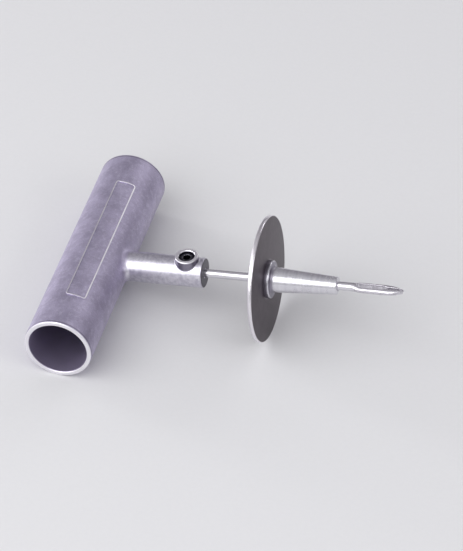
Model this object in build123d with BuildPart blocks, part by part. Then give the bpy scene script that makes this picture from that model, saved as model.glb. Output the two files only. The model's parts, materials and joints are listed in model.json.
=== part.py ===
from build123d import *

import math
import os

# Tyre plug insertion tool. A hollow T-handle is die cast in one with its neck. A split-eye
# needle stands in the neck's bore, held on its flat by a set screw in a small turret, and a
# stop disc staked to a tapered guide sleeve slides on the needle.
#
# Frame, in millimetres: the origin is where the handle's axis meets the needle's axis.
# +X runs along the needle to its tip, +Y along the handle, +Z up through the set screw.

# Handle
handle_diameter = 27.0
handle_length = 106.0
handle_wall = 1.9
handle_rim_round = 0.6
hollow_rim_chamfer = 0.3

# Blank raised frame on the handle
panel_length = 71.5
panel_width = 8.2
panel_line = 0.55
panel_height = 0.35
panel_corner = 1.2
panel_edge_round = 0.12
panel_turn = 16.0  # degrees round the handle, from the top towards the needle

# Neck and its set-screw turret
neck_length = 31.5  # from the handle's outer surface to the neck's end face
neck_diameter = 12.0
neck_root_round = 2.2
neck_end_round = 0.5
turret_wall = 1.65  # from the screw's thread to the outside
turret_height = 2.0  # above the top of the neck
turret_setback = 6.8  # from the neck's end face to the turret's axis
turret_root_round = 0.6
turret_rim_round = 0.4
mouth_chamfer = 0.35  # of the tapped hole and of the needle's bore

# Needle
needle_diameter = 3.5
needle_grip = 28.0  # length held inside the neck
needle_reach = 80.0  # length that stands out of the neck
shank_flat_depth = 0.4
shank_flat_past_screw = 0.8
shank_chamfer = 0.4
eye_length = 20.0
eye_width = 5.0
eye_thickness = 2.6
eye_swell_length = 2.5
nose_length = 6.0
nose_tip_diameter = 1.2
slot_length = 12.0
slot_width = 2.2
slot_setback = 1.6  # from the start of the eye to the start of its slot
split_width = 0.9

# Set screw
screw_diameter = 6.0
screw_length = 5.9
screw_chamfer = 0.5
screw_point_diameter = 3.4
screw_point_length = 1.0
socket_across_flats = 3.0
socket_depth = 2.6
socket_drill_cone = 0.7

# Stop disc
disc_diameter = 50.4
disc_thickness = 1.7
disc_edge_round = 0.4

# Guide sleeve
sleeve_length = 28.2  # from the disc's front face to the sleeve's nose
sleeve_to_eye = 6.1  # from the sleeve's nose to the start of the eye, at rest
sleeve_root_diameter = 10.2
sleeve_nose_diameter = 7.0
sleeve_nose_chamfer = 0.3
shoulder_diameter = 15.0
shoulder_thickness = 2.0
shoulder_round = 0.5
spigot_diameter = 8.0
stake_overhang = 0.8  # radial, past the spigot
stake_height = 0.7

# Clearances
bore_clearance = 0.05  # radial, needle in the neck
bore_end_room = 1.0
screw_clearance = 0.05  # radial, screw in its tapped hole
screw_floor_room = 0.45
screw_seat_gap = 0.02
sleeve_clearance = 0.15  # radial, sleeve on the needle
spigot_clearance = 0.02  # radial, disc on the sleeve's spigot
slide_end_gap = 0.3
needle_last_hold = 2.0  # length still in the bore when the needle is drawn out

# Places that follow from the sizes above
handle_radius = handle_diameter / 2
hollow_radius = handle_radius - handle_wall
neck_end = handle_radius + neck_length
neck_radius = neck_diameter / 2
turret_radius = screw_diameter / 2 + turret_wall
turret_x = neck_end - turret_setback
turret_top = neck_radius + turret_height
needle_radius = needle_diameter / 2
shank_end = neck_end - needle_grip
needle_tip = neck_end + needle_reach
eye_start = needle_tip - eye_length
flat_start = eye_start + eye_swell_length
flat_z = needle_radius - shank_flat_depth
sleeve_nose = eye_start - sleeve_to_eye
disc_front = sleeve_nose - sleeve_length
disc_back = disc_front - disc_thickness
shoulder_front = disc_front + shoulder_thickness
sleeve_bore_radius = needle_radius + sleeve_clearance
screw_hole_radius = screw_diameter / 2 + screw_clearance
screw_bottom = flat_z + screw_seat_gap
cut_room = 2.0  # how far a cutting shape runs past what it cuts

os.makedirs("parts", exist_ok=True)

panel_direction = Vector(math.sin(math.radians(panel_turn)), 0, math.cos(math.radians(panel_turn)))
panel_plane = Plane(origin=(0, 0, 0), x_dir=(0, 1, 0), z_dir=panel_direction)


# The raised outline of the blank panel follows the handle's curve.
with BuildPart() as panel_frame:
    with BuildSketch(panel_plane.offset(handle_radius - handle_wall / 2)):
        RectangleRounded(panel_length, panel_width, panel_corner)
        offset(amount=-panel_line, mode=Mode.SUBTRACT)
    extrude(amount=handle_wall)
    Cylinder(handle_radius + panel_height, handle_length, rotation=(90, 0, 0), mode=Mode.INTERSECT)
    panel_top = panel_frame.faces().filter_by(GeomType.CYLINDER).sort_by(SortBy.AREA)[-1]
    fillet(panel_top.edges(), panel_edge_round)


def is_root_edge(edge):
    """True on the curve where the neck meets the round outside of the handle."""
    beside_the_neck = edge.center().X > handle_radius / 2 and abs(edge.center().Y) < neck_radius
    return beside_the_neck and edge.geom_type not in (GeomType.CIRCLE, GeomType.LINE)


# Handle, neck and turret are one casting, hollow along the handle.
with BuildPart() as t_handle:
    Cylinder(handle_radius, handle_length, rotation=(90, 0, 0))
    fillet(t_handle.edges().filter_by(GeomType.CIRCLE), handle_rim_round)
    with BuildSketch(Plane.YZ):
        Circle(neck_radius)
    extrude(amount=neck_end)
    fillet(t_handle.faces().sort_by(Axis.X)[-1].edges(), neck_end_round)
    fillet(t_handle.edges().filter_by(is_root_edge), neck_root_round)
    with BuildSketch(Plane.XY.offset(needle_radius)):
        with Locations((turret_x, 0)):
            Circle(turret_radius)
    extrude(amount=turret_top - needle_radius)
    turret_root = t_handle.edges(Select.NEW).filter_by(lambda edge: edge.center().Z > needle_radius)
    fillet(turret_root, turret_root_round)
    fillet(t_handle.faces().filter_by(Axis.Z).sort_by(Axis.Z)[-1].edges(), turret_rim_round)
    add(panel_frame.part)
    # the hollow through the handle
    Cylinder(hollow_radius, handle_length + 2 * cut_room, rotation=(90, 0, 0), mode=Mode.SUBTRACT)
    end_faces = t_handle.faces().filter_by(Axis.Y).sort_by(Axis.Y)
    for end_face in (end_faces[0], end_faces[-1]):
        chamfer(end_face.edges().sort_by(SortBy.RADIUS)[0], hollow_rim_chamfer)
    # the needle's blind bore
    with BuildSketch(Plane.YZ.offset(shank_end - bore_end_room)):
        Circle(needle_radius + bore_clearance)
    extrude(amount=needle_grip + bore_end_room + cut_room, mode=Mode.SUBTRACT)
    chamfer(t_handle.faces().sort_by(Axis.X)[-1].edges().sort_by(SortBy.RADIUS)[0], mouth_chamfer)
    # the tapped hole, from the turret's top into the bore
    with BuildSketch(Plane.XY.offset(screw_bottom - screw_floor_room)):
        with Locations((turret_x, 0)):
            Circle(screw_hole_radius)
    extrude(amount=turret_top, mode=Mode.SUBTRACT)
    turret_face = t_handle.faces().filter_by(Axis.Z).sort_by(Axis.Z)[-1]
    chamfer(turret_face.edges().sort_by(SortBy.RADIUS)[0], mouth_chamfer)
t_handle.part.label = "t_handle"
export_step(t_handle.part, "parts/t_handle.step")


# The needle is turned from round bar, then its end is pressed flat and slotted to a split eye.
with BuildPart() as needle:
    with BuildSketch(Plane.XZ):
        with BuildLine():
            Polyline(
                (shank_end, 0),
                (shank_end, needle_radius - shank_chamfer),
                (shank_end + shank_chamfer, needle_radius),
                (eye_start, needle_radius),
                (eye_start + eye_swell_length, eye_width / 2),
                (needle_tip - nose_length, eye_width / 2),
            )
            TangentArc(
                (needle_tip - nose_length, eye_width / 2),
                (needle_tip, nose_tip_diameter / 2),
                tangent=(1, 0),
            )
            Polyline((needle_tip, nose_tip_diameter / 2), (needle_tip, 0), (shank_end, 0))
        make_face()
    revolve(axis=Axis.X)
    # the two flats of the eye, each with a round run-out that meets the shank where the eye starts
    with BuildSketch(Plane.XZ):
        with BuildLine():
            TangentArc((flat_start, eye_thickness / 2), (eye_start, needle_radius), tangent=(-1, 0))
            Polyline(
                (eye_start, needle_radius),
                (eye_start, eye_width),
                (needle_tip + cut_room, eye_width),
                (needle_tip + cut_room, eye_thickness / 2),
                (flat_start, eye_thickness / 2),
            )
        make_face()
        mirror(about=Plane.XZ)
    extrude(amount=eye_width, both=True, mode=Mode.SUBTRACT)
    # the slot, and the narrow split from it out through the tip
    with BuildSketch(Plane.XY):
        with Locations((eye_start + slot_setback + slot_length / 2, 0)):
            SlotOverall(slot_length, slot_width)
        split_start = eye_start + slot_setback + slot_length - slot_width / 2
        with Locations((split_start, 0)):
            Rectangle(needle_tip - split_start + cut_room, split_width, align=(Align.MIN, Align.CENTER))
    extrude(amount=eye_width, both=True, mode=Mode.SUBTRACT)
    # the screw's flat, open to the shank's end so that the needle draws out under the screw
    with BuildSketch(Plane.XZ):
        with Locations((shank_end, flat_z)):
            Rectangle(
                turret_x + screw_diameter / 2 + shank_flat_past_screw - shank_end,
                shank_flat_depth + cut_room,
                align=(Align.MIN, Align.MIN),
            )
    extrude(amount=needle_diameter, both=True, mode=Mode.SUBTRACT)
needle.part.label = "needle"
export_step(needle.part, "parts/needle.step")


# A headless screw with a hexagon socket and a narrower point that bears on the needle's flat.
with BuildPart() as set_screw:
    with BuildSketch(Plane.XY.offset(screw_bottom)):
        with Locations((turret_x, 0)):
            Circle(screw_diameter / 2)
    extrude(amount=screw_length)
    chamfer(set_screw.faces().sort_by(Axis.Z)[-1].edges(), screw_chamfer)
    chamfer(
        set_screw.faces().sort_by(Axis.Z)[0].edges(),
        screw_point_length,
        (screw_diameter - screw_point_diameter) / 2,
    )
    with BuildSketch(Plane.XY.offset(screw_bottom + screw_length)):
        with Locations((turret_x, 0)):
            RegularPolygon(socket_across_flats / 2, 6, major_radius=False)
    extrude(amount=-socket_depth, mode=Mode.SUBTRACT)
    with Locations((turret_x, 0, screw_bottom + screw_length - socket_depth)):
        Cone(
            0,
            socket_across_flats / 2,
            socket_drill_cone,
            align=(Align.CENTER, Align.CENTER, Align.MAX),
            mode=Mode.SUBTRACT,
        )
set_screw.part.label = "set_screw"
export_step(set_screw.part, "parts/set_screw.step")


# A plain round plate with rounded edges and a hole for the sleeve's spigot.
with BuildPart() as stop_disc:
    with BuildSketch(Plane.YZ.offset(disc_back)):
        Circle(disc_diameter / 2)
        Circle(spigot_diameter / 2 + spigot_clearance, mode=Mode.SUBTRACT)
    extrude(amount=disc_thickness)
    fillet(stop_disc.edges().filter_by(GeomType.CIRCLE).group_by(SortBy.RADIUS)[-1], disc_edge_round)
stop_disc.part.label = "stop_disc"
export_step(stop_disc.part, "parts/stop_disc.step")


# The sleeve is turned in one with its shoulder and spigot, and its end is staked over the disc.
with BuildPart() as guide_sleeve:
    with BuildSketch(Plane.XZ):
        with BuildLine():
            Polyline(
                (disc_back - stake_height, sleeve_bore_radius),
                (disc_back - stake_height, spigot_diameter / 2),
                (disc_back, spigot_diameter / 2 + stake_overhang),
                (disc_back, spigot_diameter / 2),
                (disc_front, spigot_diameter / 2),
                (disc_front, shoulder_diameter / 2),
                (shoulder_front, shoulder_diameter / 2),
                (shoulder_front, sleeve_root_diameter / 2),
                (sleeve_nose, sleeve_nose_diameter / 2),
                (sleeve_nose, sleeve_bore_radius),
                close=True,
            )
        make_face()
    revolve(axis=Axis.X)
    rims = guide_sleeve.edges().filter_by(GeomType.CIRCLE)
    shoulder_rims = rims.filter_by_position(Axis.X, shoulder_front, shoulder_front)
    fillet(shoulder_rims.sort_by(SortBy.RADIUS)[-1], shoulder_round)
    nose_rims = rims.filter_by_position(Axis.X, sleeve_nose, sleeve_nose)
    chamfer(nose_rims.sort_by(SortBy.RADIUS)[-1], sleeve_nose_chamfer)
guide_sleeve.part.label = "guide_sleeve"
export_step(guide_sleeve.part, "parts/guide_sleeve.step")

print("needle draws out by", needle_grip - needle_last_hold)
print("collar slides back by", disc_back - neck_end - stake_height - slide_end_gap)
print("collar slides on by", sleeve_to_eye - slide_end_gap)
print("set screw top below the turret's rim", turret_top - screw_bottom - screw_length)
print("disc plane", disc_back, "sleeve nose", sleeve_nose, "eye start", eye_start, "tip", needle_tip)
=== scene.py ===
# %% [markdown]
# # Tyre plug insertion tool
# The real tool is a short hand tool: a hollow cast T-handle, a steel needle clamped in its neck
# by a set screw, and a round stop plate on a tapered sleeve that slides along the needle.
# The measured model is loaded first, and everything below is placed from its boxes, so nothing
# has to be fitted by eye afterwards.

# %% Load the measured model
import json
import math

import bmesh
import bpy
from mathutils import Matrix, Vector


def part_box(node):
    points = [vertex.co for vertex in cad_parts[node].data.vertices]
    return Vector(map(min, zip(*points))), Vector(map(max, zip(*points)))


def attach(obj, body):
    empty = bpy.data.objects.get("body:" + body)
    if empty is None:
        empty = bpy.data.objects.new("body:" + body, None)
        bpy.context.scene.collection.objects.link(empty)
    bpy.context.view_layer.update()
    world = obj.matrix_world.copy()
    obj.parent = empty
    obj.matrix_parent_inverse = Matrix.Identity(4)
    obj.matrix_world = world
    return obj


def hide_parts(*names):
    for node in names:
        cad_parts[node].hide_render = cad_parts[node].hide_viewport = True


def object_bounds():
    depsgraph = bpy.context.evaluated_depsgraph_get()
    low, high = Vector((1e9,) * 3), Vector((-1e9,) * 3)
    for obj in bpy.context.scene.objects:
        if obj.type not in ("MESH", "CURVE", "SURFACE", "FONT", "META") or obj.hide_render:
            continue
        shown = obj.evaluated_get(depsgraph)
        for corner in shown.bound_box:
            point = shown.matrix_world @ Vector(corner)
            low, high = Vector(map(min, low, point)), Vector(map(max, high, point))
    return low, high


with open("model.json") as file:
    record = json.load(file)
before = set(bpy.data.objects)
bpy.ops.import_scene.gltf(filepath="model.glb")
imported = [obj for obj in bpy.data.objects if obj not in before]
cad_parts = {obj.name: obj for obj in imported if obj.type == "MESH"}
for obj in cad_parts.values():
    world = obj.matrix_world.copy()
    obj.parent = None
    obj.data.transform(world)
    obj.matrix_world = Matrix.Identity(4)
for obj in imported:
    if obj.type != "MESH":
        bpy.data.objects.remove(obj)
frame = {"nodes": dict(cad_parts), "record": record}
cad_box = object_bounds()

# %% [markdown]
# Blender works in metres, and this tool is drawn in millimetres, so one short name stands for
# a millimetre. The boxes of the loaded pieces then give the radii and the places along the
# needle that the new pieces and the patterns of wear both need, all in millimetres. The neck
# and the turret are part of the handle and have no box of their own, so their sizes are given.

# %% Places read from the model
MM = 0.001
handle_low, handle_high = (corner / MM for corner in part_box("t_handle"))
needle_low, needle_high = (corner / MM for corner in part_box("needle"))
screw_low, screw_high = (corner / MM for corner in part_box("set_screw"))
disc_low, disc_high = (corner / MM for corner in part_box("stop_disc"))
sleeve_low, sleeve_high = (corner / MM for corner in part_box("guide_sleeve"))
mounts = {mount["name"]: mount for mount in frame["record"]["mounts"]}

handle_radius = -handle_low.x
handle_half = handle_high.y
hollow_radius = mounts["handle_bore"]["dims"]["r_mm"]
neck_end = handle_high.x
neck_radius = 6.0
turret_top = 8.0
turret_wall = 1.65
disc_radius = disc_high.z
screw_x = (screw_low.x + screw_high.x) / 2
screw_radius = (screw_high.x - screw_low.x) / 2
turret_radius = screw_radius + turret_wall
needle_radius = needle_high.z
print("handle radius", round(handle_radius, 2), "disc radius", round(disc_radius, 2), "mm")

# %% [markdown]
# ## Helpers for the bench
# An operator acts on whatever is selected, and loading the model leaves its pieces selected.
# So each new piece starts from nothing selected, and inside edit mode one helper selects the
# points, edges or faces whose middle passes a test, as a hand would with a box select.

# %% Selecting by place
at_spot = 0.001  # a point this near to a place, in millimetres, is the one meant
same_point = 0.002  # points nearer to each other than this are joined


def open_piece(name, add, **settings):
    """Adds a primitive, names it and opens it in edit mode with all of it selected."""
    bpy.ops.object.select_all(action="DESELECT")
    add(**settings)
    piece = bpy.context.object
    piece.name = name
    piece.data.name = name
    bpy.ops.object.mode_set(mode="EDIT")
    bpy.ops.mesh.select_all(action="SELECT")
    return piece


def choose(kind, test):
    """In edit mode, selects only the parts of a kind whose middle, in millimetres, passes."""
    bpy.ops.mesh.select_mode(type=kind)
    bpy.ops.mesh.select_all(action="DESELECT")
    data = bpy.context.object.data
    mesh = bmesh.from_edit_mesh(data)
    for part in {"VERT": mesh.verts, "EDGE": mesh.edges, "FACE": mesh.faces}[kind]:
        corners = [part.co] if kind == "VERT" else [corner.co for corner in part.verts]
        part.select_set(bool(test(sum(corners, Vector()) / len(corners) / MM)))
    bmesh.update_edit_mesh(data)


def close_piece(piece, angle=35):
    """Joins doubled points, turns the faces outwards, smooths up to an angle and reports."""
    bpy.ops.mesh.select_mode(type="VERT")
    bpy.ops.mesh.select_all(action="SELECT")
    bpy.ops.mesh.remove_doubles(threshold=same_point * MM)
    bpy.ops.mesh.normals_make_consistent(inside=False)
    bpy.ops.object.mode_set(mode="OBJECT")
    bpy.ops.object.transform_apply(location=True, rotation=True, scale=True)
    bpy.ops.object.shade_smooth_by_angle(angle=math.radians(angle))
    sides = [round(side / MM, 2) for side in piece.dimensions]
    print(piece.name, "has", len(piece.data.polygons), "faces and measures", sides, "mm")
    return piece


# %% [markdown]
# A lathe makes a piece by turning an outline, and so does the spin operator. The helper lays
# one point down, extrudes it from corner to corner round half a section, rounds the corners
# that a maker would break, and spins the line about its axis. An outline whose ends both stand
# off the axis is a ring's section, so its ends are joined first.

# %% Turning an outline
def turned(name, outline, rounds=(), axis="X", steps=128):
    """Opens a closed turned shape. The outline and the corners to round are in millimetres
    (along the axis, out from it), and each corner comes with its radius."""
    def place(along, out):
        return Vector((along, 0, out) if axis == "X" else (out, 0, along)) * MM

    piece = open_piece(name, bpy.ops.mesh.primitive_plane_add, size=MM)
    bpy.ops.mesh.merge(type="CENTER")
    bpy.ops.transform.translate(value=place(*outline[0]))
    for start, end in zip(outline, outline[1:]):
        step = place(*end) - place(*start)
        bpy.ops.mesh.extrude_region_move(TRANSFORM_OT_translate={"value": step})
    if min(outline[0][1], outline[-1][1]) > 0:
        ends = [place(*outline[0]) / MM, place(*outline[-1]) / MM]
        choose("VERT", lambda point: min((point - end).length for end in ends) < at_spot)
        bpy.ops.mesh.edge_face_add()
    for corner, radius in rounds:
        choose("VERT", lambda point: (point - place(*corner) / MM).length < at_spot)
        bpy.ops.mesh.bevel(offset=radius * MM, segments=5, affect="VERTICES")
    bpy.ops.mesh.select_all(action="SELECT")
    bpy.ops.mesh.spin(steps=steps, angle=math.tau, center=(0, 0, 0), axis=place(1, 0) / MM)
    return piece


# %% [markdown]
# Milling and punching take metal away, and a boolean modifier does the same with a second
# piece as the cutter. The exact solver also copes with faces that touch or share a plane.

# %% Carving with a cutter
def carve(piece, cutter, operation="DIFFERENCE"):
    """Cuts a piece with a cutter, or keeps what both share, and throws the cutter away."""
    bpy.context.view_layer.objects.active = piece
    cut = piece.modifiers.new("carve", "BOOLEAN")
    cut.operation = operation
    cut.solver = "EXACT"
    cut.object = cutter
    bpy.ops.object.modifier_apply(modifier=cut.name)
    bpy.data.objects.remove(cutter)


# %% [markdown]
# ## The guide sleeve
# The sleeve is turned from bar in one with its shoulder. Behind the shoulder a short spigot goes
# through the stop plate, and its end was struck over with a ring punch, which leaves a domed
# lip with a shallow ring in it. The bore is opened at both ends so that it doesn't scrape the
# needle. These are its sizes, beyond what the boxes already give.

# %% Sizes of the guide sleeve
bore_radius = 1.9
bore_mouth = 0.45
spigot_radius = 4.0
lip_radius = 4.8
lip_slope = 0.7
lip_edge = 0.25
punch_ring = 3.1
punch_half = 0.3
punch_depth = 0.2
shoulder_radius = sleeve_high.z
shoulder_length = 2.0
shoulder_front = disc_high.x + shoulder_length
root_radius = 5.1
nose_radius = 3.5
print("the sleeve tapers from", root_radius, "to", nose_radius, "mm in radius")

# %% [markdown]
# The whole sleeve is one outline, from the bore's back mouth out over the lip, the spigot, the
# shoulder and the taper to the front mouth, so one spin makes it. Each edge that a file would
# break gets a small round, and the root of the taper gets the fillet that the nose of the lathe
# tool leaves there.

# %% Turn the guide sleeve
sleeve_outline = [
    (sleeve_low.x + bore_mouth, bore_radius),
    (sleeve_low.x, bore_radius + bore_mouth),
    (sleeve_low.x, punch_ring - punch_half),
    (sleeve_low.x + punch_depth, punch_ring),
    (sleeve_low.x, punch_ring + punch_half),
    (sleeve_low.x, lip_radius - lip_slope),
    (disc_low.x - lip_edge, lip_radius),
    (disc_low.x, lip_radius),
    (disc_low.x, spigot_radius),
    (disc_high.x, spigot_radius),
    (disc_high.x, shoulder_radius),
    (shoulder_front, shoulder_radius),
    (shoulder_front, root_radius),
    (sleeve_high.x, nose_radius),
    (sleeve_high.x, bore_radius + bore_mouth),
    (sleeve_high.x - bore_mouth, bore_radius),
]
sleeve_rounds = [
    ((sleeve_low.x, lip_radius - lip_slope), 0.3),
    ((disc_low.x - lip_edge, lip_radius), 0.2),
    ((sleeve_low.x + punch_depth, punch_ring), 0.15),
    ((disc_high.x, shoulder_radius), 0.15),
    ((shoulder_front, shoulder_radius), 0.5),
    ((shoulder_front, root_radius), 1.1),
    ((sleeve_high.x, nose_radius), 0.3),
]
sleeve = close_piece(turned("guide_sleeve_turned", sleeve_outline, sleeve_rounds))

# %% [markdown]
# ## The stop disc
# The plate is punched from strip. The punch rolls the edge over on the side where it enters,
# burnishes a bright band and then tears the rest, which tapers in a little. Tumbling takes the
# burr off. A flat cylinder would have none of this, and its edge would not catch the light.

# %% Spin the stop disc
spigot_gap = 0.02
hole_radius = spigot_radius + spigot_gap
torn_width = 0.75
torn_taper = 0.12
tear_start = disc_low.x + torn_width
burr_round = 0.3
die_roll = 0.55
disc_outline = [
    (disc_low.x, hole_radius),
    (disc_low.x, disc_radius - torn_taper),
    (tear_start, disc_radius),
    (disc_high.x, disc_radius),
    (disc_high.x, hole_radius),
]
disc_rounds = [
    ((disc_low.x, disc_radius - torn_taper), burr_round),
    ((disc_high.x, disc_radius), die_roll),
]
disc = close_piece(turned("stop_disc_punched", disc_outline, disc_rounds, steps=192))

# %% [markdown]
# ## The needle
# The needle is a round bar whose end is pressed wide and flat, pierced with a slot, and split
# from the slot out through the tip, so that the plug strip is let go sideways. Past the slot
# it is two prongs. The rings below give its section from place to place: round along the
# shank, wide and thin at the eye, and with a gap in the middle where the slot and the split are.

# %% Sections of the needle
tip = needle_high.x
shank_end = needle_low.x
eye_start = tip - 20.0
crotch = eye_start + 1.6
slot_half = 1.1
split_half = 0.45
eye_half = needle_high.y
flat_half = 1.3
# each ring: its place, half width, half thickness, and half the gap at its middle
rings = [
    (shank_end, needle_radius, needle_radius, 0),
    (shank_end + 0.5, needle_radius, needle_radius, 0),
    (neck_end, needle_radius, needle_radius, 0),
    (disc_low.x, needle_radius, needle_radius, 0),
    (sleeve_high.x, needle_radius, needle_radius, 0),
    (eye_start - 0.4, needle_radius, needle_radius, 0),
    (eye_start + 0.5, 1.85, 1.68, 0),
    (crotch, 2.2, 1.42, 0),
    (crotch + 0.25, 2.28, 1.38, 0.62),
    (crotch + 0.75, 2.4, flat_half, 1.0),
    (crotch + 1.5, eye_half, flat_half, slot_half),
    (crotch + 5.0, eye_half, flat_half, slot_half),
    (crotch + 10.2, eye_half, flat_half, slot_half),
    (crotch + 11.2, eye_half, flat_half, 0.85),
    (crotch + 11.9, eye_half, flat_half, split_half),
    (tip - 6.0, eye_half, flat_half, split_half),
    (tip - 4.0, 2.3, 1.25, split_half),
    (tip - 2.2, 1.78, 1.1, split_half),
    (tip - 0.9, 1.3, 0.85, split_half),
    (tip - 0.25, 0.98, 0.6, split_half),
    (tip, 0.86, 0.45, split_half + 0.08),
]
print("the eye starts at", round(eye_start, 2), "mm and the needle ends at", round(tip, 2), "mm")

# %% [markdown]
# Only half of the needle is modelled, since its two sides are alike. A half ring is extruded
# from place to place, scaled about its outer edge, so that it draws away from the middle where
# the prong starts. The subdivision to come shrinks a ring of few points, so the first ring is
# made that much larger.

# %% Half of the needle, ring by ring
ring_points = 16
control_swell = 6 / (4 + 2 * math.cos(math.tau / ring_points))
needle = open_piece(
    "needle_forged", bpy.ops.mesh.primitive_circle_add, vertices=ring_points,
    radius=needle_radius * control_swell * MM, location=(shank_end * MM, 0, 0),
    rotation=(0, math.pi / 2, 0),
)
bpy.ops.object.mode_set(mode="OBJECT")
bpy.ops.object.transform_apply(location=True, rotation=True)
bpy.ops.object.mode_set(mode="EDIT")
choose("VERT", lambda point: point.y < -at_spot)
bpy.ops.mesh.delete(type="VERT")
bpy.ops.mesh.select_all(action="SELECT")
for (x0, wide0, thick0, gap0), (x1, wide1, thick1, gap1) in zip(rings, rings[1:]):
    step = Vector((x1 - x0, wide1 - wide0, 0)) * MM
    bpy.ops.mesh.extrude_region_move(TRANSFORM_OT_translate={"value": step})
    squeeze = (wide1 - gap1) / (wide0 - gap0)
    outer_edge = Vector((x1, wide1, 0)) * MM
    bpy.ops.transform.resize(value=(1, squeeze, thick1 / thick0), center_override=outer_edge)
print("the half needle has", len(rings), "rings")

# %% [markdown]
# The press leaves the eye flat above and below. Scaling to nothing about the plane of the flat
# levels whatever stands above it, and the same below. Only then is the inner wall bridged
# between the upper and the lower lip of the slot.

# %% Flatten the eye and close the prong
pressed_from = crotch + 0.5
pressed_to = tip - 3
pressed_level = flat_half * 0.93
stands_up = flat_half * 0.8
lip_margin = 0.02
off_middle = 0.3
for side in (1, -1):
    press = Vector((0, 0, side * pressed_level)) * MM
    choose("VERT", lambda point: pressed_from < point.x < pressed_to and side * point.z > stands_up)
    bpy.ops.transform.resize(value=(1, 1, 0), center_override=press)


def lip_gap(x):
    """Half the gap at a place along the needle, between the rings on each side of it."""
    for (x0, _, _, gap0), (x1, _, _, gap1) in zip(rings, rings[1:]):
        if x0 <= x <= x1:
            return gap0 + (gap1 - gap0) * (x - x0) / (x1 - x0)
    return 0.0


def on_lip(point):
    """True for the edges along the slot's and the split's lips, above and below."""
    near_gap = point.y < lip_gap(point.x) + lip_margin
    return crotch < point.x < tip and near_gap and abs(point.z) > off_middle


choose("EDGE", on_lip)
bpy.ops.mesh.bridge_edge_loops(number_cuts=3, interpolation="LINEAR", smoothness=0)
choose("VERT", lambda point: point.x > tip - at_spot)
bpy.ops.mesh.edge_face_add()
bpy.ops.mesh.select_all(action="SELECT")
bpy.ops.mesh.normals_make_consistent(inside=False)
bpy.ops.object.mode_set(mode="OBJECT")
print("the half needle has", len(needle.data.polygons), "faces")

# %% [markdown]
# The mirror joins the halves at the middle plane, and the subdivision rounds the rings and
# leaves the soft edges that forging leaves. The shank's end is inset first, so that it stays
# flat with a small round instead of swelling out.

# %% Mirror and smooth the needle
end_margin = 0.4
mirror = needle.modifiers.new("other_half", "MIRROR")
mirror.use_axis = (False, True, False)
mirror.merge_threshold = 0.02 * MM
bpy.ops.object.modifier_apply(modifier=mirror.name)
bpy.ops.object.mode_set(mode="EDIT")
choose("EDGE", lambda point: abs(point.x - shank_end) < at_spot)
bpy.ops.mesh.edge_face_add()
bpy.ops.mesh.inset(thickness=end_margin * MM)
bpy.ops.object.mode_set(mode="OBJECT")
smooth = needle.modifiers.new("smooth", "SUBSURF")
smooth.levels = smooth.render_levels = 2
bpy.ops.object.modifier_apply(modifier=smooth.name)
print("the whole needle has", len(needle.data.polygons), "faces")

# %% [markdown]
# The screw needs a flat to bear on, or it would mark the round shank and let it turn. It is
# milled last, so that its edges stay crisp: a block as long as the cutter's path takes the top
# off the shank, from its inner end to just past the screw, and runs out into the air.

# %% Mill the screw's flat
milled_depth = 0.4
milled_level = needle_radius - milled_depth
past_screw = 0.8
milled_end = screw_x + screw_radius + past_screw
overrun = 2.0
block = open_piece("block", bpy.ops.mesh.primitive_cube_add, size=MM)
bpy.ops.transform.resize(value=(milled_end - shank_end + overrun, 4 * needle_radius, overrun))
block_middle = Vector(((milled_end + shank_end - overrun) / 2, 0, milled_level + overrun / 2))
bpy.ops.transform.translate(value=block_middle * MM)
bpy.ops.object.mode_set(mode="OBJECT")
carve(needle, block)
bpy.ops.object.select_all(action="DESELECT")
needle.select_set(True)
bpy.ops.object.mode_set(mode="EDIT")
close_piece(needle, angle=40)

# %% [markdown]
# ## The set screw
# A headless screw is all thread, with a bevelled end, a narrower point and a hexagon socket.
# The screw modifier sweeps one tooth of the thread up its axis, with spare turns past both
# ends. Each turn starts where the turn below it ends, so the points there are doubled, and
# merging them makes the whole thread one skin.

# %% Roll the thread
pitch = 1.0
spare_turns = 2
thread_depth = 0.54
screw_bottom = screw_low.z
screw_top = screw_high.z
crest = screw_radius
root = crest - thread_depth
tooth = [(0, root), (0.22, root), (0.49, crest), (0.61, crest), (0.88, root), (pitch, root)]
screw = open_piece("set_screw_threaded", bpy.ops.mesh.primitive_plane_add, size=MM)
bpy.ops.mesh.merge(type="CENTER")
bpy.ops.transform.translate(value=Vector((root, 0, screw_bottom - spare_turns * pitch)) * MM)
for (up0, out0), (up1, out1) in zip(tooth, tooth[1:]):
    step = Vector((out1 - out0, 0, up1 - up0)) * MM
    bpy.ops.mesh.extrude_region_move(TRANSFORM_OT_translate={"value": step})
bpy.ops.object.mode_set(mode="OBJECT")
sweep = screw.modifiers.new("thread", "SCREW")
sweep.screw_offset = pitch * MM
sweep_turns = math.ceil((screw_top - screw_bottom) / pitch) + 2 * spare_turns
sweep.iterations = sweep_turns
sweep.steps = sweep.render_steps = 64
bpy.ops.object.modifier_apply(modifier=sweep.name)
bpy.ops.object.mode_set(mode="EDIT")
bpy.ops.mesh.select_all(action="SELECT")
bpy.ops.mesh.remove_doubles(threshold=same_point * MM)
print("the thread is swept through", sweep_turns, "turns")

# %% [markdown]
# Bisect cuts the thread square a little past each end and fills the cut, which closes it. Its
# usual threshold is a tenth of a millimetre, and a fine thread would lose its shape to it, so
# it gets a much smaller one.

# %% Cut the thread square
end_room = 0.4
for level, facing in ((screw_top + end_room, 1), (screw_bottom - end_room, -1)):
    bpy.ops.mesh.select_all(action="SELECT")
    bpy.ops.mesh.bisect(
        plane_co=(0, 0, level * MM), plane_no=(0, 0, facing),
        use_fill=True, clear_outer=True, threshold=at_spot * MM,
    )
close_piece(screw)

# %% [markdown]
# A bar is turned to its bevelled shape before the thread is rolled on it. Here the order is
# turned about: a plain pin with the bevel and the point is made, and only the thread that lies
# inside the pin's shape is kept.

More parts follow.
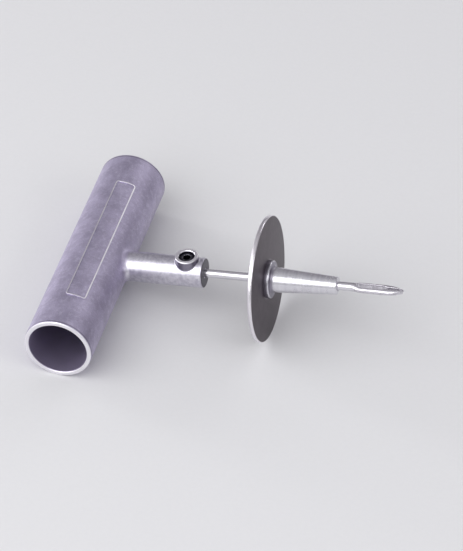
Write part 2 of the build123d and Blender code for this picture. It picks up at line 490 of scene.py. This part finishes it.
# %% Trim the thread to the pin's shape
point_radius = 1.7
point_length = 1.0
end_bevel = 0.5
pin_outline = [
    (screw_bottom, 0),
    (screw_bottom, point_radius),
    (screw_bottom + point_length, crest),
    (screw_top - end_bevel, crest),
    (screw_top, crest - end_bevel),
    (screw_top, 0),
]
pin = close_piece(turned("pin", pin_outline, axis="Z", steps=64))
carve(screw, pin, "INTERSECT")

# %% [markdown]
# The socket is punched into a drilled hole. The cutter is a six-sided key with a short point
# under it, for the cone that the drill left, and a second cutter opens the mouth a little, so
# that a key finds its way in. The finished screw is then moved into its hole in the turret.

# %% Cut the socket
socket_flats = 3.0
socket_depth = 2.6
socket_mouth = 0.2
drill_inset = 0.12
drill_point = 0.6
corner_radius = socket_flats / math.sqrt(3)
key = open_piece(
    "key", bpy.ops.mesh.primitive_cylinder_add, vertices=6, radius=corner_radius * MM,
    depth=2 * socket_depth * MM, location=(0, 0, screw_top * MM),
)
choose("FACE", lambda point: point.z < screw_top - socket_depth + at_spot)
bpy.ops.mesh.inset(thickness=drill_inset * MM)
bpy.ops.mesh.extrude_region_move(TRANSFORM_OT_translate={"value": (0, 0, -drill_point * MM)})
bpy.ops.mesh.merge(type="CENTER")
close_piece(key)
carve(screw, key)
flare_outline = [
    (screw_top - socket_mouth, 0),
    (screw_top - socket_mouth, corner_radius - socket_mouth),
    (screw_top + socket_mouth, corner_radius + socket_mouth),
    (screw_top + socket_mouth, 0),
]
carve(screw, close_piece(turned("flare", flare_outline, axis="Z", steps=48)))
bpy.ops.object.select_all(action="DESELECT")
screw.select_set(True)
bpy.context.view_layer.objects.active = screw
bpy.ops.object.mode_set(mode="EDIT")
bpy.ops.mesh.select_all(action="SELECT")
bpy.ops.transform.translate(value=(screw_x * MM, 0, 0))
close_piece(screw, angle=25)

# %% [markdown]
# ## What each piece stands for
# Each new piece rides on the body of the measured piece that it replaces, so it moves with the
# joints, and the measured piece is hidden. The handle is measured and modelled already, down to
# its rounded rims and raised frame, so it stays and only gets a finish.

# %% Ride and replace
for piece, body, node, slot in (
    (sleeve, "collar", "guide_sleeve", "turned_steel"),
    (disc, "collar", "stop_disc", "disc_steel"),
    (needle, "needle", "needle", "needle_steel"),
    (screw, "set_screw", "set_screw", "black_screw"),
):
    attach(piece, body)
    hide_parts(node)
    print(piece.name, "rides on", body)

# %% [markdown]
# ## Finishes
# A material in Blender is a graph of nodes. Written out link by link it is hard to read, so a
# small class wraps one output of the graph and lets Python's own + - * and ** add Math nodes.
# Every other node comes from one method: it takes the node's type, its settings, and what goes
# into its sockets, whether numbers or other outputs.

# %% A socket that does arithmetic
class Wire:
    """One output in a material's node graph."""

    def __init__(self, tree, socket=None):
        self.tree = tree
        self.socket = socket

    def node(self, kind, inputs=None, output=0, stops=None, **settings):
        """Adds a node. Its settings are set first, then its sockets, and one output comes back."""
        made = self.tree.nodes.new(kind)
        for name, value in settings.items():
            setattr(made, name, value)
        if stops:
            ramp = made.color_ramp
            while len(ramp.elements) < len(stops):
                ramp.elements.new(1.0)
            for element, (place, colour) in zip(ramp.elements, stops):
                element.position = place
                element.color = (*colour, 1.0)
        for name, value in (inputs or {}).items():
            if isinstance(value, Wire):
                self.tree.links.new(value.socket, made.inputs[name])
            else:
                made.inputs[name].default_value = value
        return Wire(self.tree, made.outputs[output])

    def math(self, operation, *values):
        return self.node("ShaderNodeMath", dict(enumerate(values)), operation=operation)

    def __add__(self, other):
        return self.math("ADD", self, other)

    def __sub__(self, other):
        return self.math("SUBTRACT", self, other)

    def __rsub__(self, other):
        return self.math("SUBTRACT", other, self)

    def __mul__(self, other):
        return self.math("MULTIPLY", self, other)

    def __pow__(self, other):
        return self.math("POWER", self, other)

    def __abs__(self):
        return self.math("ABSOLUTE", self)

    __radd__ = __add__
    __rmul__ = __mul__

    def step(self, low, high):
        """Rises smoothly from 0 at low to 1 at high, or falls if high is the lower one."""
        values = {"Value": self, "From Min": min(low, high), "From Max": max(low, high)}
        values["To Min"], values["To Max"] = (0.0, 1.0) if low < high else (1.0, 0.0)
        return self.node("ShaderNodeMapRange", values, interpolation_type="SMOOTHSTEP")

    def band(self, middle, half_width):
        """1 at the middle, falling smoothly to 0 at half_width to each side."""
        return abs(self - middle).step(half_width, 0.0)

    def most(self, other):
        return self.math("MAXIMUM", self, other)


# %% [markdown]
# Every finish has the same start: the Principled shader, and the place of each point on the
# piece in Object coordinates. The pieces all sit at the origin unturned, so those coordinates
# are true places on the tool. They are turned into millimetres at once, and a mask can then say
# "within half a millimetre of the rim". Noise is asked for by the size of its features, in
# millimetres too.

# %% One start for every finish
class Finish(Wire):
    """A material under way: its graph, its shader and the place of each point in millimetres."""

    def __init__(self, name, **constants):
        self.material = bpy.data.materials.new(name)
        self.material.use_nodes = True
        super().__init__(self.material.node_tree)
        self.shader = self.tree.nodes["Principled BSDF"]
        for socket, value in constants.items():
            self.shader.inputs[socket.replace("_", " ")].default_value = value
        metres = self.node("ShaderNodeTexCoord", output="Object")
        to_millimetres = {0: metres, "Scale": 1 / MM}
        self.place = self.node("ShaderNodeVectorMath", to_millimetres, operation="SCALE")
        self.x, self.y, self.z = (
            self.node("ShaderNodeSeparateXYZ", {"Vector": self.place}, output=axis)
            for axis in "XYZ"
        )

    def out_from(self, a, b):
        """How far each point is from an axis, given its two distances across that axis."""
        return (a * a + b * b) ** 0.5

    def noise(self, size, detail=3.0, roughness=0.5, stretch=(1, 1, 1), seed=0.0):
        """Soft noise from 0 to 1 with features about size millimetres across."""
        where = self.node(
            "ShaderNodeMapping",
            {"Vector": self.place, "Location": (seed, seed * 0.7, seed * 1.3), "Scale": stretch},
        )
        values = {"Vector": where, "Scale": 1 / size, "Detail": detail, "Roughness": roughness}
        return self.node("ShaderNodeTexNoise", values)

    def dents(self, size, seed=0.0):
        """Round hollows about size millimetres apart: 0 in the middle of each, 1 between them."""
        shifted = {"Vector": self.place, "Location": (seed, seed, seed)}
        values = {"Vector": self.node("ShaderNodeMapping", shifted), "Scale": 1 / size}
        return self.node("ShaderNodeTexVoronoi", values, feature="F1")

    def mix(self, factor, first, second):
        """A colour between two colours."""
        values = {0: factor}
        for index, colour in ((6, first), (7, second)):
            values[index] = colour if isinstance(colour, Wire) else (*colour, 1.0)
        return self.node("ShaderNodeMix", values, output=2, data_type="RGBA")

    def done(self, colour, roughness, height, depth):
        """Joins the graph to the shader. A height of 1 stands up by depth, in millimetres."""
        values = {"Strength": 1.0, "Distance": depth * MM, "Height": height}
        bump = self.node("ShaderNodeBump", values)
        for socket, value in (("Base Color", colour), ("Roughness", roughness), ("Normal", bump)):
            self.tree.links.new(value.socket, self.shader.inputs[socket])
        print("finish", self.material.name, "has", len(self.tree.nodes), "nodes")
        return self.material


# %% [markdown]
# ## The cast handle
# The handle, its neck and the little turret come out of one die. Tumbling in stone chips leaves
# a satin grey skin with faint clouds, a light mottle, fine grain and small dents. Hands and
# keys polish what stands proud: the rims, the raised frame and the neck, which is nearly
# bright. The inside is rougher. Its colour is darkened as painted shade, and so are the tapped
# hole, the side of the turret and the end of the neck. Each of those is a mask, made from the
# distance to the handle's axis or the screw's, or from the place along the handle or the needle.

# %% Tumbled die casting
def make_cast_finish():
    metal = Finish("tumbled_die_casting", Metallic=1.0)
    from_handle_axis = metal.out_from(metal.x, metal.z)
    from_screw_axis = metal.out_from(metal.x - screw_x, metal.y)

    clouds = metal.noise(7.0, detail=3.0, roughness=0.55)
    mottle = metal.noise(1.6, detail=3.0, roughness=0.6, seed=3.0)
    grain = metal.noise(0.30, detail=2.0, seed=7.0)
    dents = metal.dents(2.3).step(0.0, 0.40)
    scratches = metal.noise(0.45, detail=2.0, stretch=(1, 0.05, 1), seed=5.0).step(0.66, 0.74)

    # Painted shade: the hollow's colour is darkened here, and the same mask also makes it rougher.
    inside = from_handle_axis.step(hollow_radius + 0.25, hollow_radius + 0.05)
    inside = inside * abs(metal.x).step(handle_radius + 1, handle_radius - 1)
    on_neck = metal.x.step(handle_radius - 0.4, handle_radius + 1.4)
    raised = from_handle_axis.step(handle_radius + 0.12, handle_radius + 0.28)
    raised = raised * metal.x.step(handle_radius - 2, handle_radius - 3)
    rim = abs(metal.y).step(handle_half - 0.45, handle_half - 0.15)
    rim_shadow = abs(metal.y).band(handle_half - 0.95, 0.55) * (1 - inside)
    turret_rim = metal.z.step(turret_top - 0.6, turret_top - 0.25) * on_neck
    # Painted shade: the side of the turret below its rim is darkened.
    turret_side_painted_shade = from_screw_axis.band(turret_radius, 0.5)
    turret_side_painted_shade = turret_side_painted_shade * metal.z.step(turret_top - 0.3, turret_top - 0.8)
    turret_side_painted_shade = turret_side_painted_shade * metal.z.step(neck_radius - 2.5, neck_radius - 1.5)
    above_needle = metal.z.step(needle_radius + 0.25, needle_radius + 1.25)
    # Painted shade: the tapped hole above the needle is darkened.
    hole_painted_shade = from_screw_axis.step(screw_radius + 0.3, screw_radius + 0.1)
    hole_painted_shade = hole_painted_shade * above_needle * on_neck
    # Painted shade: the end face of the neck is coloured nearly black.
    neck_end_painted_shade = metal.x.step(neck_end - 0.12, neck_end - 0.04)
    worn_line = 0.75 + 0.25 * metal.noise(9.0, detail=1.0, seed=12.0).step(0.35, 0.65)

    skin = metal.mix(clouds.step(0.30, 0.70), (0.460, 0.418, 0.560), (0.580, 0.532, 0.695))
    skin = metal.mix(mottle.step(0.45, 0.72) * 0.45, skin, (0.75, 0.71, 0.85))
    skin = metal.mix(grain.step(0.60, 0.35) * 0.30, skin, (0.28, 0.26, 0.34))
    neck_skin = metal.mix(mottle.step(0.3, 0.7), (0.54, 0.52, 0.60), (0.73, 0.71, 0.78))
    colour = metal.mix(on_neck, skin, neck_skin)
    colour = metal.mix(scratches * 0.25, colour, (0.62, 0.60, 0.66))
    colour = metal.mix(rim_shadow * 0.60, colour, (0.16, 0.14, 0.20))
    colour = metal.mix((raised * worn_line).most(rim).most(turret_rim), colour, (0.93, 0.91, 0.95))
    # The next four colours are painted shade: the turret's side, the neck's end, the inside and the
    # tapped hole.
    colour = metal.mix(turret_side_painted_shade * 0.80, colour, (0.18, 0.16, 0.22))
    colour = metal.mix(neck_end_painted_shade * 0.92, colour, (0.045, 0.040, 0.058))
    colour = metal.mix(inside * 0.92, colour, (0.34, 0.30, 0.42))
    colour = metal.mix(hole_painted_shade * 0.92, colour, (0.09, 0.085, 0.13))

    roughness = 0.54 + 0.08 * (clouds - 0.5) + 0.08 * (mottle - 0.5)
    roughness = roughness - 0.20 * on_neck - 0.18 * raised.most(rim) + 0.14 * inside
    height = (0.35 * mottle + 0.30 * grain + 0.45 * dents + 0.15 * clouds) * (1 - 0.7 * on_neck)
    return metal.done(colour, roughness, height, depth=0.055)


frame["nodes"]["t_handle"].data.materials[0] = make_cast_finish()

# %% [markdown]
# ## Turned steel
# The sleeve comes straight off the lathe with a fine finishing cut. Each turn of the tool leaves
# a groove far too small to see by itself, but together they spread the highlight round the
# sleeve. Bands a millimetre or so wide, where the feed changed a little, are what shows. A
# smooth sine gives the grooves, and noise stretched round the axis gives the bands. The
# shoulder and the root of the taper are a little rougher, and their colour is darkened as
# painted shade, all but a thin line on the shoulder's rounded edge.

# %% Sleeve finish
def make_turned_finish():
    metal = Finish("turned_bright_steel", Metallic=1.0)
    groove_every = 0.16
    grooves = metal.math("SINE", metal.x * (math.tau / groove_every) + 2.0 * metal.noise(5.0))
    bands = metal.noise(1.2, detail=3.0, stretch=(1, 0.03, 0.03), seed=2.0)
    smudge = metal.noise(4.0, detail=4.0, roughness=0.6, seed=9.0).step(0.45, 0.70)
    nicks = metal.noise(0.8, detail=2.0, seed=4.0).step(0.72, 0.77)
    colour = metal.mix(bands.step(0.30, 0.70), (0.70, 0.69, 0.74), (0.79, 0.78, 0.82))
    colour = metal.mix(smudge * 0.25, colour, (0.50, 0.48, 0.54))
    colour = metal.mix(nicks * 0.45, colour, (0.27, 0.26, 0.30))
    out = metal.out_from(metal.y, metal.z)
    # Painted shade at the shoulder and the root of the taper, which also get more roughness; a thin
    # line on the shoulder's rounded edge is left out.
    dulling_and_painted_shade = metal.x.step(shoulder_front + 1.6, shoulder_front + 0.6)
    dulling_and_painted_shade = dulling_and_painted_shade * metal.x.step(disc_low.x - 0.2, disc_low.x)
    edge_left_out_of_painted_shade = out.band(shoulder_radius - 0.1, 0.45)
    edge_left_out_of_painted_shade = edge_left_out_of_painted_shade * metal.x.step(disc_high.x + 0.8, shoulder_front - 0.3)
    dulling_and_painted_shade = dulling_and_painted_shade * (1 - edge_left_out_of_painted_shade)
    colour = metal.mix(dulling_and_painted_shade * 0.80, colour, (0.22, 0.20, 0.26))
    roughness = 0.22 + 0.10 * smudge + 0.06 * (bands - 0.5) + 0.10 * dulling_and_painted_shade
    height = 0.10 * grooves + 0.35 * bands - 0.5 * nicks
    return metal.done(colour, roughness, height, depth=0.006)


sleeve.data.materials.append(make_turned_finish())

# %% [markdown]
# ## The needle's finish
# The bar is drawn bright, so its marks run along it. The sleeve slides over it and rubs faint
# rings, and rubber from the plugs dulls the eye at its end.

# %% Needle finish
def make_needle_finish():
    metal = Finish("drawn_bright_steel", Metallic=1.0)
    draw_lines = metal.noise(0.25, detail=3.0, stretch=(0.03, 1, 1), seed=1.0)
    rub = metal.noise(0.9, detail=3.0, stretch=(1, 0.05, 0.05), seed=5.0).step(0.50, 0.80)
    rubber = metal.noise(1.6, detail=4.0, seed=8.0).step(0.35, 0.65)
    # On the needle this mask is the rubber's dulling alone, without painted shade.
    dulling_and_painted_shade = metal.x.step(eye_start - 3, eye_start + 2) * rubber
    colour = metal.mix(draw_lines.step(0.3, 0.7), (0.68, 0.66, 0.71), (0.82, 0.80, 0.84))
    colour = metal.mix(rub * 0.25, colour, (0.55, 0.53, 0.58))
    colour = metal.mix(dulling_and_painted_shade * 0.45, colour, (0.33, 0.31, 0.35))
    roughness = 0.19 + 0.05 * rub + 0.16 * dulling_and_painted_shade
    return metal.done(colour, roughness, 0.6 * draw_lines + 0.3 * rub, depth=0.006)


needle.data.materials.append(make_needle_finish())

# %% [markdown]
# ## Black screw
# The set screw is blackened by a hot salt bath. The black is a thin skin of oxide, so it wears
# through to grey on the crests of the thread and at the socket's mouth, where the key rubs.

# %% Black oxide
def make_black_finish():
    metal = Finish("black_oxide", Metallic=1.0)
    out = metal.out_from(metal.x - screw_x, metal.y)
    cloud = metal.noise(0.9, detail=4.0, roughness=0.6)
    crest_wear = out.step(screw_radius - 0.18, screw_radius - 0.02)
    mouth_wear = out.band(corner_radius, 0.25) * metal.z.step(screw_top - 0.3, screw_top - 0.05)
    wear = crest_wear.most(mouth_wear) * cloud.step(0.35, 0.60)
    colour = metal.mix(cloud.step(0.3, 0.7), (0.030, 0.029, 0.040), (0.065, 0.062, 0.080))
    colour = metal.mix(wear * 0.7, colour, (0.42, 0.40, 0.44))
    roughness = 0.36 + 0.16 * (cloud - 0.5) - 0.08 * wear
    return metal.done(colour, roughness, cloud, depth=0.006)


screw.data.materials.append(make_black_finish())

# %% [markdown]
# ## The plate's finish
# Both faces of the plate are coloured a dark, faintly brown grey as painted shade, with the
# rolling lines all one way and a few lighter scuffs. Its sheared edge keeps the bright colour of
# bare steel. The sleeve's shoulder has rubbed a brighter ring round itself.

# %% Rolled strip with a sheared edge
def make_disc_finish():
    metal = Finish("plate_steel_with_painted_shade", Metallic=1.0)
    out = metal.out_from(metal.y, metal.z)
    rolled = metal.noise(0.4, detail=3.0, stretch=(1, 1, 0.03), seed=1.0)
    cloudy = metal.noise(6.0, detail=5.0, roughness=0.6, seed=6.0)
    specks = metal.noise(0.7, detail=2.0, seed=8.0).step(0.68, 0.75)
    scuffs = metal.noise(1.6, detail=5.0, roughness=0.7, stretch=(1, 0.3, 1), seed=10.0)
    scuffs = scuffs.step(0.60, 0.80)
    rim = out.step(disc_radius - 0.50, disc_radius - 0.20)
    torn = rim * metal.x.step(tear_start + 0.1, tear_start - 0.1)
    on_front = metal.x.step(disc_high.x - 0.4, disc_high.x - 0.1)
    rubbed = out.band(shoulder_radius + 0.2, 0.7) * on_front
    # Painted shade: both faces are coloured a dark, faintly brown grey, and the sheared edge keeps
    # the bright steel colour.
    colour = metal.mix(cloudy.step(0.3, 0.7), (0.074, 0.060, 0.072), (0.122, 0.102, 0.118))
    colour = metal.mix(rolled.step(0.5, 0.8) * 0.30, colour, (0.18, 0.155, 0.18))
    colour = metal.mix(specks * 0.5, colour, (0.07, 0.06, 0.065))
    colour = metal.mix((scuffs * 0.5).most(rubbed) * 0.35, colour, (0.38, 0.36, 0.39))
    colour = metal.mix(rim, colour, (0.86, 0.83, 0.87))
    colour = metal.mix(torn * 0.35, colour, (0.45, 0.43, 0.47))
    roughness = 0.40 + 0.16 * (cloudy - 0.5) - 0.16 * rim + 0.12 * specks + 0.12 * torn
    height = 0.5 * rolled + 0.3 * cloudy - 0.4 * specks
    return metal.done(colour, roughness, height, depth=0.012)


disc.data.materials.append(make_disc_finish())

# %% [markdown]
# ## The floor
# Laid down, the tool rests on its handle and on the edge of the stop plate, which is the wider
# of the two. Its needle then points a little upwards. The model keeps the needle level, so the
# floor leans instead: it touches the handle's underside and the plate's lower back edge. It is
# one wide sheet of pale paper, and it isn't part of the tool.

# %% A pale floor that touches the handle and the plate
reach = math.hypot(disc_low.x, disc_radius)
lean = math.atan2(disc_radius, disc_low.x) - math.asin(handle_radius / reach)
down = Vector((-math.sin(lean), 0, -math.cos(lean)))
floor_radius = 9.0
near_radius = 1.0

floor = open_piece(
    "pale_floor", bpy.ops.mesh.primitive_circle_add, vertices=96,
    radius=floor_radius, fill_type="NGON",
)
bpy.ops.mesh.inset(thickness=floor_radius - near_radius)
bpy.ops.object.mode_set(mode="OBJECT")
under_handle = Matrix.Translation(down * handle_radius * MM)
floor.data.transform(under_handle @ Matrix.Rotation(lean, 4, "Y"))
paper = Finish("pale_paper", Metallic=0.0)
fibre = paper.noise(1.5, detail=4.0)
paper_tone = paper.mix(fibre, (0.72, 0.72, 0.73), (0.75, 0.75, 0.76))
floor.data.materials.append(paper.done(paper_tone, 0.75 + 0.1 * fibre, fibre, depth=0.01))
print("the floor leans", round(math.degrees(lean), 2), "degrees")

# %% [markdown]
# ## Lights
# Bright metal shows its surroundings, so the lights are what gives it its form. One wide, soft
# box stands in front and above, and puts a single broad highlight along the neck and the
# sleeve. What lies behind the zenith is left dimmer, for the darker band above it. A narrow
# strip off to the left brightens the handle's outer side, and two weak fills keep the right and
# the back from going black. None of them shows itself to the camera.

# %% Softboxes
focus = (cad_box[0] + cad_box[1]) / 2


def add_softbox(name, place, size, power):
    """A flat area light that looks at the middle of the tool."""
    light = bpy.data.lights.new(name, "AREA")
    light.shape = "RECTANGLE"
    light.size, light.size_y = size
    light.energy = power
    lamp = bpy.data.objects.new(name, light)
    lamp.location = place
    lamp.rotation_mode = "QUATERNION"
    lamp.rotation_quaternion = (focus - Vector(place)).to_track_quat("-Z", "Y")
    lamp.visible_camera = False
    bpy.context.scene.collection.objects.link(lamp)
    print(name, "gives", power, "W from", round(size[0] * size[1], 2), "square metres")


add_softbox("front_box", (-0.45, -0.80, 0.95), (1.7, 1.2), 13.5)
add_softbox("left_strip", (-1.1, 0.25, 0.40), (0.25, 0.7), 3.6)
add_softbox("right_fill", (1.2, -0.3, 0.55), (0.8, 0.6), 3.0)
add_softbox("back_fill", (0.5, 1.1, 0.5), (0.8, 0.3), 1.6)

# %% [markdown]
# The world fills in what the lights don't reach. It is a soft grey that is darker low down and
# behind, read from the direction of each ray, so the metal has something quiet to mirror.

# %% World
world = bpy.data.worlds.new("studio")
bpy.context.scene.world = world
world.use_nodes = True
sky = Wire(world.node_tree)
towards_light = (-0.2, -0.7, 0.7)
ray = sky.node("ShaderNodeTexCoord", output="Generated")
facing = sky.node(
    "ShaderNodeVectorMath", {0: ray, 1: towards_light}, output=1, operation="DOT_PRODUCT"
)
tones = [(0.15, (0.30, 0.29, 0.32)), (0.55, (0.44, 0.43, 0.46)), (0.95, (0.80, 0.80, 0.83))]
tone = sky.node("ShaderNodeValToRGB", {"Fac": facing * 0.5 + 0.5}, stops=tones)
background = world.node_tree.nodes["Background"]
world.node_tree.links.new(tone.socket, background.inputs["Color"])
background.inputs["Strength"].default_value = 0.8
print("the world runs through", len(tones), "greys")

# %% [markdown]
# ## Camera
# The camera looks down at the tool from the near end of the handle, a little from the needle's
# side, with a long lens so that the handle hardly tapers. It is rolled a few degrees, which puts
# the needle on a gentle slope down to the right.

# %% Camera
camera_azimuth = 19.4
camera_height = 39.2
camera_distance = 1.395
camera_roll = 7.1
camera_lens = 232.0

camera_data = bpy.data.cameras.new("camera")
camera_data.lens = camera_lens
camera_data.clip_start = 0.05
camera_data.clip_end = 60.0
camera = bpy.data.objects.new("camera", camera_data)
turn = math.radians(camera_azimuth)
lift = math.radians(camera_height)
level = math.cos(lift)
towards = Vector((math.sin(turn) * level, -math.cos(turn) * level, math.sin(lift)))
camera.location = focus + towards * camera_distance
camera.rotation_mode = "QUATERNION"
look = (-towards).to_track_quat("-Z", "Y").to_matrix()
roll = Matrix.Rotation(math.radians(-camera_roll), 3, "Z")
camera.rotation_quaternion = (look @ roll).to_quaternion()
bpy.context.scene.collection.objects.link(camera)
bpy.context.scene.camera = camera
bpy.context.scene.view_settings.view_transform = "Standard"
print("camera is", round(camera_distance, 2), "m away at", camera_lens, "mm")
